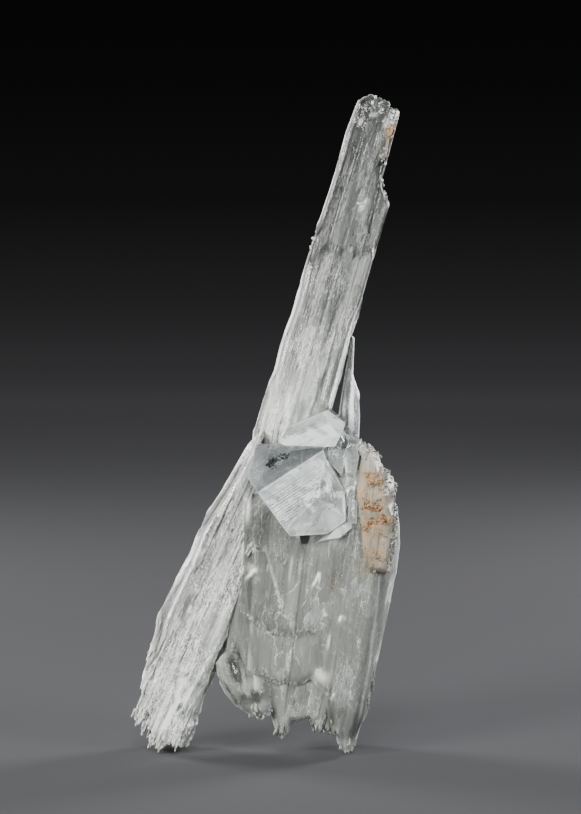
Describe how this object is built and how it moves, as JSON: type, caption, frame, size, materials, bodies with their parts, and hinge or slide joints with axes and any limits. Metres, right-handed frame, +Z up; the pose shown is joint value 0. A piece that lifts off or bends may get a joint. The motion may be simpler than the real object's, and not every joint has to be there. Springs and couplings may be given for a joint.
{
  "type": "selenite mineral specimen",
  "caption": "Upright cluster of intergrown selenite: a tall leaning blade, a splayed foot, a curtain of blades and a clear block crystal.",
  "frame": {"origin": "under the middle of the specimen's box, on the surface that it stands on", "axes": "+Z up, +X to the right of the pictured side, +Y to the back"},
  "size_m": [0.0636, 0.0302, 0.1498],
  "materials": {
    "selenite": "silky, milky to clear, with rust-stained patches"
  },
  "bodies": {
    "root": {"selenite_cluster": "selenite"}
  },
  "joints": []
}
